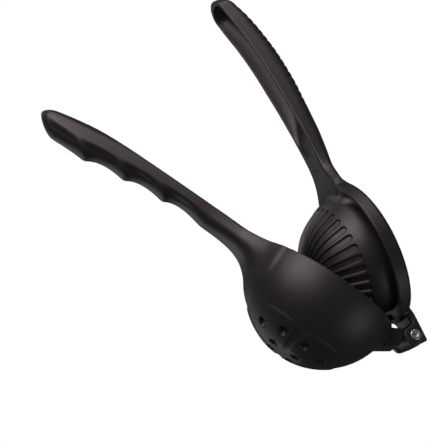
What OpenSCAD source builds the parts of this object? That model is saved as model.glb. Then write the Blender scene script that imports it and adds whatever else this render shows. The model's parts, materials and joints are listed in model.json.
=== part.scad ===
// Hinged citrus squeezer: a bowl arm and a press arm, each moulded in one piece,
// that turn on a socket screw.  The bowl stands on its foot at the origin, +Z is up
// along the bowl's axis and +X points from the grips to the hinge.  The press arm is
// drawn closed over the bowl, round the screw's axis, and then raised by rest_angle.

/* [Bowl] */
// Outer radius of the bowl
bowl_r = 48; // [44:0.5:56]
// Wall of the bowl
bowl_wall = 3; // [2.4:0.1:4]
// How much of the round bottom the flat foot takes off
foot_cut = 1; // [0.6:0.1:2]
// Lowest point of the rim below the centre of the bowl's ball
rim_drop = 2.5; // [0.5:0.1:6]
// How far the rim rises towards the grip
rim_rise_grip = 3; // [1:0.1:4]
// How far the rim rises towards the hinge
rim_rise_hinge = 6; // [2:0.1:6.5]

/* [Pads under the bowl] */
// How far the four pads stand out of the bowl
pad_relief = 0.6; // [0.4:0.1:1]
// Radius of the outer edge of each pad
pad_edge_r = 32; // [30:0.5:33]
// Distance of the centre of that edge from the bowl's axis, along X
pad_edge_x = 3; // [1:0.5:3]
// Width of the channel between the pads that runs along the bowl
long_gap = 6.4; // [5:0.2:7]
// Width of the channel between the pads that runs across the bowl
cross_gap = 3.8; // [3:0.2:5]
// Radius of the pads' corners next to the bowl's middle plane
side_corner_r = 10; // [6:0.5:11]
// Radius of the pads' corners next to the channel across
cross_corner_r = 5; // [3:0.5:6]
// Radius of the pads' inner corners
inner_corner_r = 4; // [2:0.5:4.5]
// Diameter of the juice holes
hole_d = 6; // [4:0.1:6.4]
// Radius of the ring of outer juice holes
hole_ring_r = 24; // [22:0.5:25]
// Angle from X of the middle between the two outer holes of a pad
hole_ring_angle = 52; // [48:0.5:54]
// Angle of each outer hole from that middle
hole_spread = 19.5; // [15:0.5:20]
// Distance of the inner juice holes from the bowl's axis
hole_inner_r = 10.3; // [10:0.1:12]
// Angle of the inner juice holes from X
hole_inner_angle = 42; // [41:0.5:46]

/* [Hinge] */
// Distance from the bowl's wall to the screw's axis
hinge_reach = 12.5; // [12:0.1:16]
// Height of the screw's axis above the centre of the bowl's ball
hinge_rise = 7; // [6:0.1:9]
// Width of the knuckle on the bowl arm
knuckle_w = 17.6; // [14:0.2:22]
// Radius of the knuckle round the screw
knuckle_r = 6.6; // [6:0.1:7]
// Slope of the gusset under the knuckle
gusset_slope = 36; // [30:1:42]
// Slope of the web from the rim up to the knuckle
web_slope = 31; // [25:1:35]
// Thickness of each ear of the press arm
ear_t = 5.6; // [5:0.1:7]
// Play between the knuckle and each ear
ear_play = 0.3; // [0.2:0.05:0.6]
// How far the ears reach past the screw's axis
ear_end = 6.5; // [6:0.1:8]
// Top of the ears above the screw's axis
ear_rise = 5; // [5:0.1:6]
// How far the ears reach below the screw's axis
ear_drop = 7; // [6.5:0.1:8]
// Radius of the ears' upper corners
ear_corner = 1.2; // [0.5:0.1:2.5]
// Radius of the ears' lower corners
ear_low_corner = 5; // [3:0.1:6]
// Radius of the arch between each ear and the cover
ear_arch_r = 3.8; // [2.5:0.1:4]
// Thickness of the bridge that joins the ears over the knuckle
bridge_t = 2.4; // [1.8:0.1:3]
// Angle between the closed arms and the arms at rest
rest_angle = 30; // [10:1:60]

/* [Screw and lock nut] */
// Diameter of the screw
screw_d = 4; // [3:0.5:4]
// Radial clearance of the screw in the ears, the knuckle and the nut
screw_clear = 0.06; // [0.02:0.01:0.1]
// Diameter of the screw's head
head_d = 7; // [6.4:0.1:7.4]
// Height of the screw's head
head_h = 4; // [3:0.1:4.5]
// Depth of the pockets for the head and the nut
pocket_h = 3.8; // [2:0.1:4]
// Clearance of the head and the nut in their pockets
pocket_clear = 0.35; // [0.1:0.05:0.5]
// Width across flats of the socket in the head
socket_af = 3; // [2:0.1:3.5]
// Depth of the socket in the head
socket_h = 2; // [1.5:0.1:2.5]
// Width across flats of the lock nut
nut_af = 7; // [6.6:0.1:8]
// Height of the lock nut's hexagon
nut_h = 3.2; // [2.4:0.1:3.6]
// Height of the lock nut's collar
collar_h = 1.8; // [1.2:0.1:2]
// Wall of the lock nut's collar
collar_wall = 0.5; // [0.3:0.1:0.7]
// Length of screw that shows past the lock nut
screw_proud = 1.2; // [0.2:0.1:2]

/* [Press] */
// Gap between the bowl's inside and the closed press
squeeze_gap = 6.3; // [5:0.1:9]
// Centre of the press's ball below the screw's axis
press_drop = 3.5; // [2:0.1:5]
// Wall of the press
press_wall = 3.4; // [3:0.1:5]
// How far the crest of the press's shoulder stands out beyond its dome
crest_out = 1.5; // [0.8:0.1:3]
// Depth of that crest below the screw's axis
crest_drop = 6.2; // [5:0.1:8]
// Number of flutes round the press
flute_n = 34; // [24:2:40]
// Width of each flute
flute_w = 4.2; // [2:0.1:4.6]
// Depth of each flute
flute_h = 1.2; // [0.6:0.1:1.6]
// Depth below the screw's axis at which the flutes end
flute_top = 15.9; // [13:0.1:20]
// Radius round the press's pole at which the flutes begin
flute_start = 24; // [18:0.5:28]

/* [Cover] */
// How far the cover's edge stands out past the bowl
cover_over = 0.6; // [0.5:0.1:2]
// Top of the cover above the screw's axis
cover_top = 4.4; // [4:0.1:5]
// Thickness of the cover
cover_t = 4; // [3:0.1:5]
// Thickness of the lip round the cover
lip_t = 2.7; // [2:0.1:3.2]
// Bottom of the lip below the screw's axis
lip_drop = 5; // [4:0.1:5.5]
// Gap between the closed lip and the rim where they come nearest
lip_gap = 1; // [0.6:0.1:1.5]
// Radius of the cover's top edge
cover_edge = 3; // [1:0.1:3.5]
// Angle to each side of the grip over which its root fills the groove in the cover
root_angle = 47; // [35:1:60]

/* [Grips] */
// Length of the lower grip from the bowl's wall
grip_len = 166; // [150:0.5:185]
// Half width of the lower grip
grip_half_w = 11.8; // [10.5:0.1:13]
// Depth of the finger grooves
groove_h = 3; // [0:0.1:4]
// Distance between the finger grooves
groove_pitch = 29; // [26:0.5:31]
// Length of the upper grip from the bowl's wall
channel_len = 154; // [140:0.5:170]
// Half width of the upper grip
channel_half_w = 12.5; // [12:0.1:14]
// Wall of the channel in the upper grip
channel_wall = 2.6; // [2:0.1:3.5]
// Thickness of the upper grip's back over the channel
channel_back = 3.6; // [3:0.1:5]
// Number of ridges on the upper grip's back
ridge_n = 16; // [8:1:18]
// Distance between the ridges
ridge_pitch = 5.2; // [4:0.1:5.6]
// Height of the ridges
ridge_h = 0.9; // [0.2:0.1:1.2]
// Diameter of the moulding gate's mark at the end of the channel
gate_d = 2.4; // [1:0.1:3]

/* [Hidden] */
$fn = 96;

eps = 0.01;
cut = 1;
centre_h = bowl_r - foot_cut;
inner_r = bowl_r - bowl_wall;
pin_x = bowl_r + hinge_reach;
pin_h = centre_h + hinge_rise;
rim_h = centre_h - rim_drop;
cover_r = bowl_r + cover_over;
press_r = inner_r - squeeze_gap;
press_top_r = press_r + crest_out;
ear_in = knuckle_w / 2 + ear_play;
ear_out = ear_in + ear_t;
head_y = -ear_out + pocket_h;
nut_y = ear_out - pocket_h;
bore_r = screw_d / 2 + screw_clear;
nylon_black = [0.10, 0.09, 0.10];
bright_steel = [0.78, 0.78, 0.80];
nylon_blue = [0.20, 0.35, 0.60];

// ---- curves ----

// Points of an arc round c, from angle a0 to a1
function arc(c, r, a0, a1, n = 8) =
    [for (i = [0 : n]) let (a = a0 + (a1 - a0) * i / n) c + r * [cos(a), sin(a)]];

// Index of the span of table T that holds x
function span_of(T, x, i = 0) = i >= len(T) - 2 || x <= T[i + 1][0] ? i : span_of(T, x, i + 1);

// Slope of column k of table T at row i
function slope_of(T, k, i) =
    let (a = max(i - 1, 0), b = min(i + 1, len(T) - 1))
    (T[b][k] - T[a][k]) / (T[b][0] - T[a][0]);

// Column k of table T at x, on a smooth curve through the rows
function along(T, k, x) =
    let (i = span_of(T, x), h = T[i + 1][0] - T[i][0], t = (x - T[i][0]) / h)
    (2 * t ^ 3 - 3 * t ^ 2 + 1) * T[i][k] + (t ^ 3 - 2 * t ^ 2 + t) * h * slope_of(T, k, i)
    + (3 * t ^ 2 - 2 * t ^ 3) * T[i + 1][k] + (t ^ 3 - t ^ 2) * h * slope_of(T, k, i + 1);

// Power of v that keeps its sign: squares up a round section as q grows past 2
function bulge(v, q) = sign(v) * abs(v) ^ (2 / q);

// Closed solid through rings that all have the same number of points
module loft(rings) {
    n = len(rings[0]);
    m = len(rings);
    polyhedron(
        points = [for (r = rings) each r],
        faces = [
            [for (j = [0 : n - 1]) j],
            for (i = [0 : m - 2], j = [0 : n - 1])
                let (a = i * n + j, b = i * n + (j + 1) % n)
                    each [[a, a + n, b], [b, a + n, b + n]],
            [for (j = [n - 1 : -1 : 0]) (m - 1) * n + j]
        ]);
}

// Extrudes a side view, drawn in X and Z, to both sides of the middle plane
module side_view(w) {
    rotate([90, 0, 0])
        linear_extrude(height = w, center = true)
            children();
}

// ---- bowl arm ----

// Rows of the lower grip: place along X, top, widest place and underside measured
// from the centre of the bowl's ball, half width and squareness
function grip_rows() =
    let (w = grip_half_w, tip = -bowl_r - grip_len, b = -bowl_r)
    [
        [tip, -6.2, -9, -12.9, w - 3, 2.2],
        [tip + 6.5, -3.8, -9.2, -15.7, w - 1.8, 2.2],
        [tip + 17.5, -1, -9.6, -20, w - 0.6, 2.3],
        [tip + 34.5, 2.2, -8.6, -19.4, w, 2.4],
        [tip + 63.5, 6, -4.8, -15, w, 2.4],
        [b - 70, 7.8, -2.2, -11, w - 0.3, 2.4],
        [b - 49, 7.5, -1.6, -10, w - 0.3, 2.4],
        [b - 36, 7, -1.6, -9.7, w - 0.3, 2.4],
        [b - 23, 3.7, -1.6, -9.7, w + 1, 2.7],
        [b - 13, 2, -1.2, -11, w + 3.3, 2.8],
        [b - 5, 1.5, -1, -14.5, w + 7, 2.5],
        [b + 1.3, 1.2, -0.8, -20.3, w + 10.8, 2.1],
        [b + 7.2, 1, -0.8, -27.6, w + 15.3, 2],
        [b + 12, 1, -0.8, -31.4, w + 20, 2],
        [b + 15, 1, -0.8, -32.6, w + 20.6, 2]
    ];

// How far the finger grooves lift the underside of the grip at x
function groove_at(x) =
    let (s = (x + bowl_r + grip_len - 30) / groove_pitch, k = round(s))
    k < 0 || k > 3 ? 0 : (k == 0 ? 0.6 : 1) * groove_h * cos(180 * (s - k)) ^ 2;

// Ring of the grip at x, with the section of the rows at s and shrunk by f
function grip_ring(T, x, s, f) =
    let (mid = along(T, 2, s), up = along(T, 1, s) - mid, w = along(T, 4, s) * f,
         down = mid - along(T, 3, s) - groove_at(s), q = along(T, 5, s), n = 28)
    [for (j = [0 : n - 1])
        let (a = 360 * j / n, h = bulge(sin(a), q) * f)
        [x, w * bulge(cos(a), q), centre_h + mid + (h > 0 ? up : down) * h]];

module lower_grip() {
    T = grip_rows();
    cap = 9.5;
    step = 4;
    fine = 3;
    start = T[0][0] + cap;
    bend = -bowl_r - 26;
    loft([
        for (a = [12 : 13 : 77]) grip_ring(T, start - cap * cos(a), start - cap * cos(a), sin(a)),
        for (x = [start : step : bend - eps]) grip_ring(T, x, x, 1),
        for (x = [bend : fine : -bowl_r + 15]) grip_ring(T, x, x, 1)
    ]);
}

// Everything above the rim, whose side view is two arcs that touch at the bowl's axis
module above_rim(gap = 0) {
    width = 2 * (cover_r + cut);
    for (side = [-1, 1]) {
        rise = side < 0 ? rim_rise_grip : rim_rise_hinge;
        r = (bowl_r ^ 2 + rise ^ 2) / (2 * rise);
        intersection() {
            translate([0, 0, rim_h + gap + r])
                rotate([90, 0, 0])
                    cylinder(r = r, h = width, center = true, $fn = 720);
            translate([side < 0 ? -bowl_r - 10 : 0, -width / 2, 0])
                cube([bowl_r + 10, width, rim_h + gap + bowl_r]);
        }
    }
}

// Ball with an upright wall above its centre, cut level at the top
module cup(r, top) {
    translate([0, 0, centre_h]) sphere(r = r, $fn = 180);
    translate([0, 0, centre_h]) cylinder(r = r, h = top - centre_h, $fn = 180);
}

// One pad's outline, seen from above, in the quarter between +X and +Y
module pad_outline() {
    low = long_gap / 2;
    left = cross_gap / 2;
    side = side_corner_r;
    side_reach = sqrt((pad_edge_r - side) ^ 2 - (low + side) ^ 2);
    side_angle = atan2(low + side, side_reach);
    top = cross_corner_r;
    top_x = left + top;
    top_reach = sqrt((pad_edge_r - top) ^ 2 - (top_x - pad_edge_x) ^ 2);
    top_angle = atan2(top_reach, top_x - pad_edge_x);
    inner = inner_corner_r;
    polygon([
        each arc([left + inner, low + inner], inner, 180, 270, 6),
        each arc([pad_edge_x + side_reach, low + side], side, -90, side_angle, 12),
        each arc([pad_edge_x, 0], pad_edge_r, side_angle + 3, top_angle - 3, 14),
        each arc([top_x, top_reach], top, top_angle, 180, 8)
    ]);
}

// Copies a part of the first quarter into all four quarters
module in_each_quarter() {
    for (turn = [0, 180], side = [0, 1])
        rotate([0, 0, turn])
            mirror([0, side, 0])
                children();
}

module juice_holes() {
    in_each_quarter()
        for (p = [
            [hole_ring_r, hole_ring_angle - hole_spread],
            [hole_ring_r, hole_ring_angle + hole_spread],
            [hole_inner_r, hole_inner_angle]
        ])
            rotate([0, 0, p[1]])
                translate([p[0], 0, -cut])
                    cylinder(d = hole_d, h = centre_h, $fn = 48);
}

// Side view of the knuckle, its gusset and its web, round the screw's axis
module knuckle_outline() {
    wall_x = -hinge_reach - bowl_wall / 2;
    low = knuckle_r * [sin(gusset_slope), -cos(gusset_slope)];
    high = knuckle_r * [cos(170), sin(170)];
    polygon([
        [wall_x, low[1] + (wall_x - low[0]) * tan(gusset_slope)],
        each arc([0, 0], knuckle_r, gusset_slope - 90, 170, 32),
        [wall_x, high[1] + (wall_x - high[0]) * tan(web_slope)]
    ]);
}

module knuckle() {
    translate([pin_x, 0, pin_h])
        side_view(knuckle_w)
            knuckle_outline();
}

module bowl_arm() {
    rim_top = rim_h + max(rim_rise_grip, rim_rise_hinge) + cut;
    color(nylon_black)
    difference() {
        union() {
            difference() {
                union() {
                    cup(bowl_r, rim_top);
                    lower_grip();
                    intersection() {
                        translate([0, 0, centre_h]) sphere(r = bowl_r + pad_relief, $fn = 180);
                        in_each_quarter()
                            linear_extrude(height = centre_h)
                                pad_outline();
                    }
                }
                above_rim();
            }
            knuckle();
        }
        cup(inner_r, rim_top + cover_r);
        translate([0, 0, -bowl_r]) cylinder(r = bowl_r, h = bowl_r);
        juice_holes();
        translate([pin_x, 0, pin_h])
            rotate([90, 0, 0])
                cylinder(r = bore_r, h = knuckle_w + 2 * cut, center = true, $fn = 48);
    }
}

// ---- press arm, drawn closed, round the screw's axis ----

// Rows of the upper grip: place along X, top, widest place and underside, half
// width, and squareness of the back and of the underside
function channel_rows() =
    let (w = channel_half_w, b = -hinge_reach - 2 * bowl_r, tip = b - channel_len, t = cover_top)
    [
        [tip, -7.6, -10.5, -13.8, w - 0.7, 2.4, 8],
        [tip + 4.5, -2, -8, -13, w - 0.4, 2.4, 8],
        [tip + 12.5, 1.5, -6, -11.5, w - 0.2, 2.6, 9],
        [tip + 21.5, 5, -4, -9.8, w, 2.6, 9],
        [tip + 34.5, 8.4, -2, -7.2, w, 2.6, 9],
        [tip + 53.5, 11.5, 1, -4.7, w, 2.6, 9],
        [b - 77.5, 12.9, 3, -3, w, 2.6, 9],
        [b - 64.5, 12.5, 3.3, -2.2, w, 2.6, 9],
        [b - 49.5, 11.8, 3.3, -1.6, w, 2.6, 8],
        [b - 36.5, 10.9, 3.2, -1.3, w, 2.8, 7],
        [b - 22.5, t + 4.6, 2.5, -1.4, w, 3, 6],
        [b - 14.2, t + 3, 1.5, -2, w + 0.6, 3.2, 4],
        [b - 9.5, t + 2.1, 1, -2.5, w + 2, 3.5, 3],
        [b - 3.5, t + 1, 0.3, -3, w + 5.5, 4, 3],
        [b + 0.5, t + 0.4, 0, -3.6, w + 8, 4, 3],
        [b + 4.5, t, -0.3, -4.4, w + 9.8, 4, 3],
        [b + 8.5, t - 0.1, -0.6, -5.4, w + 10.5, 4, 3],
        [b + 13, t - 0.3, -0.9, -6.4, w + 10, 4, 3]
    ];

// How far the back dips between its ridges at x
function dip_at(x, first) =
    let (s = (x - first) / ridge_pitch)
    s < 0 || s > ridge_n ? 0 : ridge_h * (1 - sin(180 * (s - floor(s)))) ^ 2;

// Ring of the upper grip at x, narrowed by f at its tip
function channel_ring(T, x, f, first) =
    let (mid = along(T, 2, x), up = along(T, 1, x) - mid, down = mid - along(T, 3, x),
         w = along(T, 4, x) * f, qb = along(T, 5, x), qu = along(T, 6, x), n = 32)
    [for (j = [0 : n - 1])
        let (a = 360 * j / n, s = sin(a), q = s > 0 ? qb : qu, v = abs(s) ^ (2 / q))
        [x, w * bulge(cos(a), q), s > 0 ? mid + (up - dip_at(x, first)) * v : mid - down * v]];

// Ring of the hollow inside the upper grip: an arch that springs just below the grip's
// underside and runs out below
function hollow_ring(T, x, f, open) =
    let (top = along(T, 1, x) - channel_back, low = along(T, 3, x) - 0.5, rise = (top - low) * f,
         w = (along(T, 4, x) - channel_wall) * f, n = 16)
    [[x, w + 0.4, low - open], each [for (j = [0 : n])
        let (a = 180 * j / n)
        [x, w * bulge(cos(a), 3.2), low + rise * bulge(sin(a), 3.2)]], [x, -w - 0.4, low - open]];

module upper_grip() {
    T = channel_rows();
    tip = T[0][0];
    cap = 10;
    wall = hinge_reach + 2 * bowl_r;
    first = tip + cap + 2.5;
    last = first + ridge_n * ridge_pitch;
    difference() {
        loft([
            for (a = [12 : 13 : 77]) channel_ring(T, tip + cap * (1 - cos(a)), sin(a), first),
            for (x = [first : ridge_pitch / 4 : last + eps]) channel_ring(T, x, 1, first),
            for (x = [last + 3 : 4 : -wall - 24]) channel_ring(T, x, 1, first),
            for (x = [-wall - 22 : 3 : -wall + 13]) channel_ring(T, x, 1, first)
        ]);
        loft([
            hollow_ring(T, tip + 4, 0.03, 4),
            for (a = [15 : 15 : 75]) hollow_ring(T, tip + 4 + 8 * (1 - cos(a)), sin(a) ^ 0.7, 4),
            for (x = [tip + 12 : 6 : -wall - 40]) hollow_ring(T, x, 1, 4),
            for (a = [0 : 15 : 75]) hollow_ring(T, -wall - 38 + 21 * a / 75, cos(a), 4),
            hollow_ring(T, -wall - 14.5, 0.03, 4)
        ]);
    }
}

// Half section of the press and its cover, as radius and height
module press_section() {
    foot = [sqrt(press_r ^ 2 - (flute_top - press_drop) ^ 2), -flute_top];
    under = cover_top - cover_t;
    run = [press_top_r - foot[0], -crest_drop - foot[1]];
    swell = (run * run) / (2 * run[0]);
    c = [press_top_r - swell, -crest_drop];
    a0 = -asin(run[1] / swell);
    a1 = asin(crest_drop / swell * 2 / 3);
    inner = press_r - press_wall;
    mouth = press_top_r - press_wall;
    difference() {
        polygon([
            [0, cover_top],
            [0, -press_drop - press_r],
            each arc([0, -press_drop], press_r, -90, atan2(foot[1] + press_drop, foot[0]), 24),
            each arc(c, swell, a0, a1, 10),
            [c[0] + swell * cos(a1), under],
            [cover_r - lip_t, under],
            [cover_r - lip_t, -lip_drop],
            [cover_r, -lip_drop],
            each arc([cover_r - cover_edge, cover_top - cover_edge], cover_edge, 0, 90, 6)
        ]);
        polygon([
            [-cut, cover_top + cut],
            [-cut, -press_drop - inner],
            each arc([0, -press_drop], inner, -90, -6, 24),
            each arc([mouth + cover_edge, cover_top - cover_edge], cover_edge, 180, 90, 6),
            [mouth + cover_edge, cover_top + cut]
        ]);
    }
}

// One flute: a groove along a meridian
module flute(a0, a1) {
    r = flute_w / 2;
    path_r = press_r - flute_h + r;
    rotate([90, 0, 0])
        rotate([0, 0, a0])
            rotate_extrude(angle = a1 - a0, $fn = 180)
                translate([path_r, 0])
                    circle(r = r, $fn = 48);
}

module press() {
    a0 = -acos(flute_start / press_r);
    a1 = -asin((flute_top - press_drop) / press_r);
    difference() {
        rotate_extrude($fn = 180)
            press_section();
        translate([0, 0, -press_drop])
            for (i = [0 : flute_n - 1])
                rotate([0, 0, 360 * (i + 0.5) / flute_n])
                    flute(a0, a1);
    }
}

// Root of the upper grip, which fills the groove between the press and the lip
module grip_root() {
    inner = press_top_r - press_wall / 2;
    rotate([0, 0, 180 - root_angle])
        rotate_extrude(angle = 2 * root_angle, $fn = 180)
            translate([inner, -lip_drop])
                square([cover_r - lip_t / 2 - inner, lip_drop + cover_top - cover_t / 2]);
}

// Side view of an ear, round the screw's axis
module ear_outline() {
    r = ear_corner;
    low_r = ear_low_corner;
    back = -ear_end + 0.5;
    under = cover_top - ear_t;
    root = -hinge_reach - 6;
    polygon([
        [root, cover_top],
        [-hinge_reach + 1, ear_rise + 0.5],
        each arc([ear_end - r, ear_rise - r], r, 90, 0),
        each arc([ear_end - low_r, -ear_drop + low_r], low_r, 0, -90, 10),
        each arc([back + low_r, -ear_drop + low_r], low_r, -90, -180, 10),
        each arc([back - ear_arch_r, under], ear_arch_r, 0, 180, 12),
        [root, under]
    ]);
}

module ears() {
    for (side = [-1, 1])
        translate([0, side * (ear_in + ear_t / 2), 0])
            side_view(ear_t)
                ear_outline();
}

// Bridge between the ears, from the cover's edge to just short of the knuckle
module ear_bridge() {
    root = -hinge_reach - 6;
    front = -knuckle_r - 1.8;
    translate([root, -ear_in - eps, cover_top - bridge_t])
        cube([front - root, 2 * (ear_in + eps), bridge_t]);
}

// Room for the knuckle's web under the edge of the cover
module web_room() {
    back = -hinge_reach - bowl_wall - 2;
    front = -knuckle_r - 1;
    z0 = knuckle_r * sin(170) - (knuckle_r * cos(170)) * tan(web_slope) + lip_gap;
    side_view(knuckle_w + 4 * ear_play)
        polygon([
            [back, -lip_drop - cut],
            [front, -lip_drop - cut],
            [front, z0 + front * tan(web_slope)],
            [back, z0 + back * tan(web_slope)]
        ]);
}

module hinge_holes() {
    rotate([90, 0, 0]) {
        cylinder(r = bore_r, h = 2 * ear_out + 2 * cut, center = true, $fn = 48);
        translate([0, 0, -head_y])
            cylinder(r = head_d / 2 + pocket_clear, h = pocket_h + cut, $fn = 48);
        translate([0, 0, -ear_out - cut])
            cylinder(r = (nut_af / 2 + pocket_clear) / cos(30), h = pocket_h + cut, $fn = 6);
    }
}

// Turns what is drawn round the screw's axis, with the arms closed, to its place at rest
module at_rest() {
    translate([pin_x, 0, pin_h])
        rotate([0, rest_angle, 0])
            children();
}

module press_arm() {
    color(nylon_black)
    at_rest()
        difference() {
            union() {
                translate([-pin_x, 0, 0]) press();
                translate([-pin_x, 0, 0]) grip_root();
                upper_grip();
                ears();
                ear_bridge();
            }
            difference() {
                translate([-pin_x, 0, -lip_drop - cut])
                    difference() {
                        cylinder(r = cover_r + cut, h = lip_drop + cover_top, $fn = 180);
                        translate([0, 0, -cut])
                            cylinder(r = press_top_r + cut, h = lip_drop + cover_top + 2 * cut, $fn = 180);
                    }
                translate([-pin_x, 0, -pin_h]) above_rim(lip_gap);
                translate([-pin_x - cover_r - cut, -cover_r - cut, -bowl_r])
                    cube([pin_x, 2 * (cover_r + cut), 2 * bowl_r]);
            }
            web_room();
            hinge_holes();
            translate([-hinge_reach - 2 * bowl_r - 15, 0, -4])
                cylinder(d = gate_d, h = 4, $fn = 24);
        }
}

// ---- screw and nut ----

module hinge_screw() {
    length = nut_y + nut_h + collar_h + screw_proud - head_y;
    bevel = 0.4;
    color(bright_steel)
    at_rest()
        translate([0, head_y, 0])
            rotate([-90, 0, 0])
                difference() {
                    rotate_extrude($fn = 64)
                        polygon([
                            [0, -head_h],
                            [head_d / 2 - bevel, -head_h],
                            [head_d / 2, -head_h + bevel],
                            [head_d / 2, 0],
                            [screw_d / 2, 0],
                            [screw_d / 2, length - bevel],
                            [screw_d / 2 - bevel, length],
                            [0, length]
                        ]);
                    translate([0, 0, -head_h - cut])
                        cylinder(r = socket_af / 2 / cos(30), h = socket_h + cut, $fn = 6);
                }
}

module lock_nut() {
    corner = nut_af / 2 / cos(30);
    round_r = nut_af / 2 - 0.2;
    color(bright_steel)
    at_rest()
        translate([0, nut_y, 0])
            rotate([-90, 0, 0])
                difference() {
                    union() {
                        intersection() {
                            cylinder(r = corner, h = nut_h, $fn = 6);
                            rotate_extrude($fn = 64)
                                polygon([
                                    [0, 0],
                                    [round_r, 0],
                                    [corner, 0.4],
                                    [corner, nut_h - 0.4],
                                    [round_r, nut_h],
                                    [0, nut_h]
                                ]);
                        }
                        cylinder(r = round_r, h = nut_h + collar_h, $fn = 64);
                    }
                    translate([0, 0, -cut])
                        cylinder(r = bore_r, h = nut_h + collar_h + 2 * cut, $fn = 48);
                    translate([0, 0, nut_h])
                        cylinder(r = round_r - collar_wall, h = collar_h + cut, $fn = 64);
                }
}

module lock_nut_ring() {
    round_r = nut_af / 2 - 0.2;
    color(nylon_blue)
    at_rest()
        translate([0, nut_y + nut_h, 0])
            rotate([-90, 0, 0])
                difference() {
                    cylinder(r = round_r - collar_wall, h = collar_h - 0.3, $fn = 64);
                    translate([0, 0, -cut])
                        cylinder(r = bore_r, h = collar_h + 2 * cut, $fn = 48);
                }
}

bowl_arm();
press_arm();
hinge_screw();
lock_nut();
lock_nut_ring();
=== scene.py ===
import json

import bpy
import numpy as np
from mathutils import Matrix


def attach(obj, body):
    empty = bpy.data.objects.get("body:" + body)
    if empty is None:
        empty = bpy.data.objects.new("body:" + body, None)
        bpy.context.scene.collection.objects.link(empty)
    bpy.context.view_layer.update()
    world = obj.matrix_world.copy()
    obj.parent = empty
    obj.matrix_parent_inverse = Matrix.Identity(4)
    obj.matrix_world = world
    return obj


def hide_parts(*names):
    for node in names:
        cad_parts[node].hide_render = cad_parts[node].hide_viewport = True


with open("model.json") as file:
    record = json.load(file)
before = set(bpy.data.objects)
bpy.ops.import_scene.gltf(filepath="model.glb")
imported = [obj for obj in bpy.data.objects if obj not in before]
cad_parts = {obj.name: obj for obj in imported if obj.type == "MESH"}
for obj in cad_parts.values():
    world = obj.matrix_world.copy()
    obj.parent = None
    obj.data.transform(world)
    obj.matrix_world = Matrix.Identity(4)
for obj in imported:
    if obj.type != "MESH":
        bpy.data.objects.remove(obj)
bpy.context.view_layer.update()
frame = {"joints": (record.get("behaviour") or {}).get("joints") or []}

# ---------------------------------------------------------------------------------------
# Bowl arm.  Moulded in one shot from black glass-filled nylon: a round bowl with drain holes
# in four raised pads, a finger-grooved grip that flares out of its side, and a knuckle that
# carries the hinge screw.  All lengths are millimetres until the mesh is made.
# ---------------------------------------------------------------------------------------
MM = 0.001
pin_x, _, pin_z = [v / MM for v in frame["joints"][0]["pos_m"]]

bowl_r = 48
bowl_wall = 3
centre_z = 47
rim_drop = 2.5
rim_rise_grip = 3
rim_rise_hinge = 6
rim_round = 0.9

pad_relief = 0.6
pad_edge_r = 32
pad_edge_x = 3
pad_corners = {"side": 10, "cross": 5, "inner": 4}
long_gap = 6.4
cross_gap = 3.8
pad_slope = 0.8
hole_r = 3
grip_fillet = 2.5
hole_places = [(24, 32.5), (24, 71.5), (10.3, 42)]

knuckle_half = 8.8
knuckle_r = 6.6
gusset_slope = np.radians(36)
web_slope = np.radians(31)
web_turn = np.radians(170)
bore_r = 2.06

grip_end = -bowl_r - 165.7
grip_half_w = 11.8
grip_cap = 9.5
grip_depth = 26
groove_h = 3
groove_pitch = 28.2
groove_first = grip_end + 27.7
groove_lean = 1.1
groove_first_share = 0.6
groove_fade = (0.15, 0.45)
# place along X, then top, widest place and underside from the bowl's centre, half width
# and squareness of the section
grip_rows = [
    [grip_end, -6.2, -9, -12.9, grip_half_w - 3, 2.2],
    [grip_end + 6.5, -3.8, -9.2, -15.7, grip_half_w - 1.8, 2.2],
    [grip_end + 17.5, -1, -9.6, -20, grip_half_w - 0.6, 2.3],
    [grip_end + 34.5, 2.2, -8.6, -19.4, grip_half_w, 2.4],
    [grip_end + 63.5, 6, -4.8, -15, grip_half_w, 2.4],
    [-bowl_r - 70, 7.8, -2.2, -11, grip_half_w - 0.3, 2.4],
    [-bowl_r - 49, 7.5, -1.6, -10, grip_half_w - 0.3, 2.4],
    [-bowl_r - 36, 7, -1.6, -9.7, grip_half_w - 0.3, 2.4],
    [-bowl_r - 23, 3.7, -1.6, -9.7, grip_half_w + 1, 2.7],
    [-bowl_r - 13, 2, -1.2, -11, grip_half_w + 3.3, 2.8],
    [-bowl_r - 5, 1.5, -1, -14.5, grip_half_w + 7, 2.5],
    [-bowl_r + 1.3, 1.2, -0.8, -20.3, grip_half_w + 10.8, 2.1],
    [-bowl_r + 7.2, 1, -0.8, -27.6, grip_half_w + 15.3, 2],
    [-bowl_r + 12, 1, -0.8, -31.4, grip_half_w + 20, 2],
    [-bowl_r + 15, 1, -0.8, -32.6, grip_half_w + 20.6, 2],
]


def columns_at(rows, x):
    """Columns of the rows at the places x, on cubic pieces whose slope at a row is that of the
    line between the row's two neighbours: with t from 0 to 1 along a piece of length h, the
    sum of (2t^3 - 3t^2 + 1) p + (t^3 - 2t^2 + t) h m and the same seen from the other end."""
    rows = np.array(rows, float)
    at, last = rows[:, 0], len(rows) - 1
    ahead = np.minimum(np.arange(last + 1) + 1, last)
    behind = np.maximum(np.arange(last + 1) - 1, 0)
    slopes = (rows[ahead] - rows[behind]) / (at[ahead] - at[behind])[:, None]
    x = np.clip(x, at[0], at[-1])
    i = np.clip(np.searchsorted(at, x) - 1, 0, last - 1)
    h = at[i + 1] - at[i]
    t = (x - at[i]) / h
    weights = (2 * t**3 - 3 * t**2 + 1, (t**3 - 2 * t**2 + t) * h,
               3 * t**2 - 2 * t**3, (t**3 - t**2) * h)
    return [
        weights[0] * rows[i, c] + weights[1] * slopes[i, c]
        + weights[2] * rows[i + 1, c] + weights[3] * slopes[i + 1, c]
        for c in range(1, rows.shape[1])
    ]


def joined(a, b, r):
    """Field of two solids together, with a fillet of radius r between them: the nearer of
    the two, or near the corner r less the distance to the fillet's axis."""
    return np.maximum(np.minimum(a, b), r) - np.hypot(np.maximum(r - a, 0), np.maximum(r - b, 0))


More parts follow.
